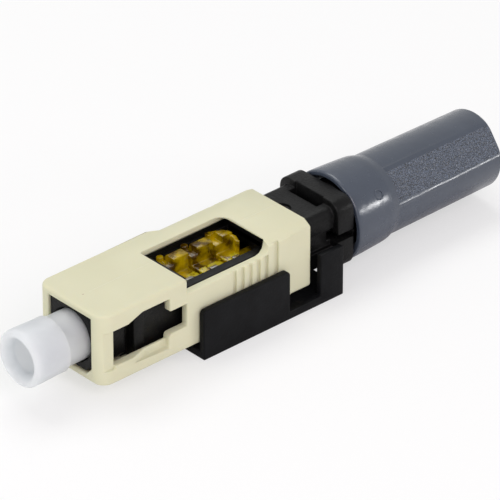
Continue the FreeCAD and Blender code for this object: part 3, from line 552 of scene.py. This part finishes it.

# the grips' grain, with its painted glints, lies on the flats alone
nut.data.materials.append(grain)
for face in nut.data.polygons:
    offset = from_axis(face.center)
    if face.center.x > FLATS_FROM and any(
            face.normal.dot(normal) > SQUARE_ON and abs(offset.dot(normal) - FLAT_OUT) < ON_FLAT
            for normal in normals):
        face.material_index = 1
pick(nut)
mark.select_set(True)
bpy.ops.object.join()
bpy.ops.object.shade_smooth_by_angle(angle=TURNED_SMOOTH)
settle(nut, "tail_nut", "nut")

# ------------------------------------------------------------------ dust cap
cap_low, cap_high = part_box("dust_cap")
CAP_FRONT, SPIGOT_END = cap_low[0], cap_high[0]
DISH_FLOOR, SOCKET_END = CAP_FRONT + 0.95 * MM, -4.4 * MM
KNOB_REAR = -2.15 * MM
SPIGOT, SOCKET = 2.5 * MM, 1.3 * MM
cap = turned("nose_cap", [
    (DISH_FLOOR, 1.45 * MM), (DISH_FLOOR - 0.06 * MM, 1.62 * MM),
    (DISH_FLOOR - 0.25 * MM, 1.76 * MM), (CAP_FRONT + 0.25 * MM, 2.06 * MM),
    (CAP_FRONT + 0.08 * MM, 2.18 * MM), (CAP_FRONT, 2.34 * MM),
    (CAP_FRONT + 0.02 * MM, 2.52 * MM), (CAP_FRONT + 0.14 * MM, 2.70 * MM),
    (CAP_FRONT + 0.36 * MM, 2.815 * MM), (CAP_FRONT + 0.65 * MM, 2.835 * MM),
    (KNOB_REAR - 0.3 * MM, 2.74 * MM), (KNOB_REAR - 0.22 * MM, 2.77 * MM),
    (KNOB_REAR - 0.05 * MM, 2.77 * MM), (KNOB_REAR, 2.72 * MM), (KNOB_REAR, 2.53 * MM),
    (KNOB_REAR + 0.08 * MM, SPIGOT), (SPIGOT_END - 0.1 * MM, SPIGOT), (SPIGOT_END, 2.4 * MM),
    (SPIGOT_END, 1.4 * MM), (SPIGOT_END - 0.1 * MM, SOCKET), (SOCKET_END, SOCKET)],
    (0, 0), white)
pick(cap)
bpy.ops.object.shade_smooth_by_angle(angle=TURNED_SMOOTH)
settle(cap, "dust_cap", "cap")

# ------------------------------------------------------------------ stage, lights, camera
FLOOR_GAP = 0.02 * MM
FLOOR_SIZE, FLOOR_MIDDLE = 2.0, 0.02
WORLD_LIGHT, FLOOR_WHITE = 0.42, 0.55
floor_z = cad_box[0][2] - FLOOR_GAP
deselect()
bpy.ops.mesh.primitive_plane_add(size=FLOOR_SIZE, location=(FLOOR_MIDDLE, 0, floor_z))
floor = bpy.context.object
floor.name = "floor"
floor_finish = Finish("pale_floor", (0.93, 0.93, 0.93), 0.75)
floor.data.materials.append(floor_finish.material)


def white_when_seen(tree, out, lit, rays, amount):
    """Mixes white into what the rays named see, without adding light to the object."""
    seen = tree.nodes.new("ShaderNodeLightPath")
    fac = seen.outputs[rays[0]]
    for ray in rays[1:]:
        both = tree.nodes.new("ShaderNodeMath")
        both.operation = "MAXIMUM"
        tree.links.new(fac, both.inputs[0])
        tree.links.new(seen.outputs[ray], both.inputs[1])
        fac = both.outputs["Value"]
    part = tree.nodes.new("ShaderNodeMath")
    part.operation = "MULTIPLY"
    tree.links.new(fac, part.inputs[0])
    part.inputs[1].default_value = amount
    glow = tree.nodes.new("ShaderNodeEmission" if out.bl_idname == "ShaderNodeOutputMaterial"
                          else "ShaderNodeBackground")
    glow.inputs["Strength"].default_value = 1.0
    either = tree.nodes.new("ShaderNodeMixShader")
    tree.links.new(part.outputs["Value"], either.inputs["Fac"])
    tree.links.new(lit, either.inputs[1])
    tree.links.new(glow.outputs[0], either.inputs[2])
    tree.links.new(either.outputs["Shader"], out.inputs["Surface"])


world = bpy.data.worlds.new("studio")
bpy.context.scene.world = world
world.use_nodes = True
sky = world.node_tree
sky.nodes["Background"].inputs["Color"].default_value = (1, 1, 1, OPAQUE)
sky.nodes["Background"].inputs["Strength"].default_value = WORLD_LIGHT
white_when_seen(sky, sky.nodes["World Output"], sky.nodes["Background"].outputs["Background"],
                ("Is Camera Ray", "Is Glossy Ray", "Is Transmission Ray"), 1.0)
white_when_seen(floor_finish.tree, floor_finish.tree.nodes["Material Output"],
                floor_finish.shader.outputs["BSDF"], ("Is Camera Ray",), FLOOR_WHITE)


def softbox(name, at, target, size, power, colour):
    lamp = bpy.data.lights.new(name, "AREA")
    lamp.shape = "RECTANGLE"
    lamp.size, lamp.size_y = size
    lamp.energy = power
    lamp.color = colour
    made = bpy.data.objects.new(name, lamp)
    bpy.context.scene.collection.objects.link(made)
    made.location = at
    made.rotation_euler = (Vector(target) - Vector(at)).to_track_quat("-Z", "Y").to_euler()


MIDDLE = (0.022, 0, 0)
WARM = (1.0, 0.885, 0.935)
WHITE = (1, 1, 1)
COOL = (0.985, 1.0, 0.985)
NUT_COLLAR = (0.036, -0.004, 0.002)
SOFTBOXES = (
    ("key_softbox", (0.2380, -0.2220, 0.0561), NUT_COLLAR, (0.06, 0.026), 0.13, WHITE),
    ("left_softbox", (-0.055, -0.285, 0.25), MIDDLE, (0.22, 0.22), 0.50, WARM),
    ("nose_softbox", (-0.32, -0.02, 0.14), MIDDLE, (0.20, 0.20), 0.37, WHITE),
    ("top_softbox", (0.06, 0.16, 0.34), MIDDLE, (0.30, 0.20), 0.56, COOL),
)
for name, at, target, size, power, colour in SOFTBOXES:
    softbox(name, at, target, size, power, colour)

# The camera stands off the nose and the near side, about 31 degrees up.
back = Vector((-0.5767, -0.6307, 0.5193)).normalized()
right = Vector((0.7380, -0.6748, 0.0)).normalized()
up = back.cross(right)
FOCUS = Vector((25, 0, 0)) * MM
DISTANCE = 540.4 * MM
SENSOR, LENS = 36, 418.5288      # millimetres
AIM_RIGHT, AIM_UP = 0.00406785, 0.00185398   # slopes that set FOCUS off the middle of the view
forward = -back - right * AIM_RIGHT - up * AIM_UP
camera_data = bpy.data.cameras.new("studio_camera")
camera = bpy.data.objects.new("studio_camera", camera_data)
bpy.context.scene.collection.objects.link(camera)
camera.location = FOCUS + back * DISTANCE
camera.rotation_euler = forward.to_track_quat("-Z", "Y").to_euler()
camera_data.sensor_width = SENSOR
camera_data.lens = LENS
camera_data.clip_start = 0.01
bpy.context.scene.camera = camera
bpy.context.scene.view_settings.view_transform = "Standard"
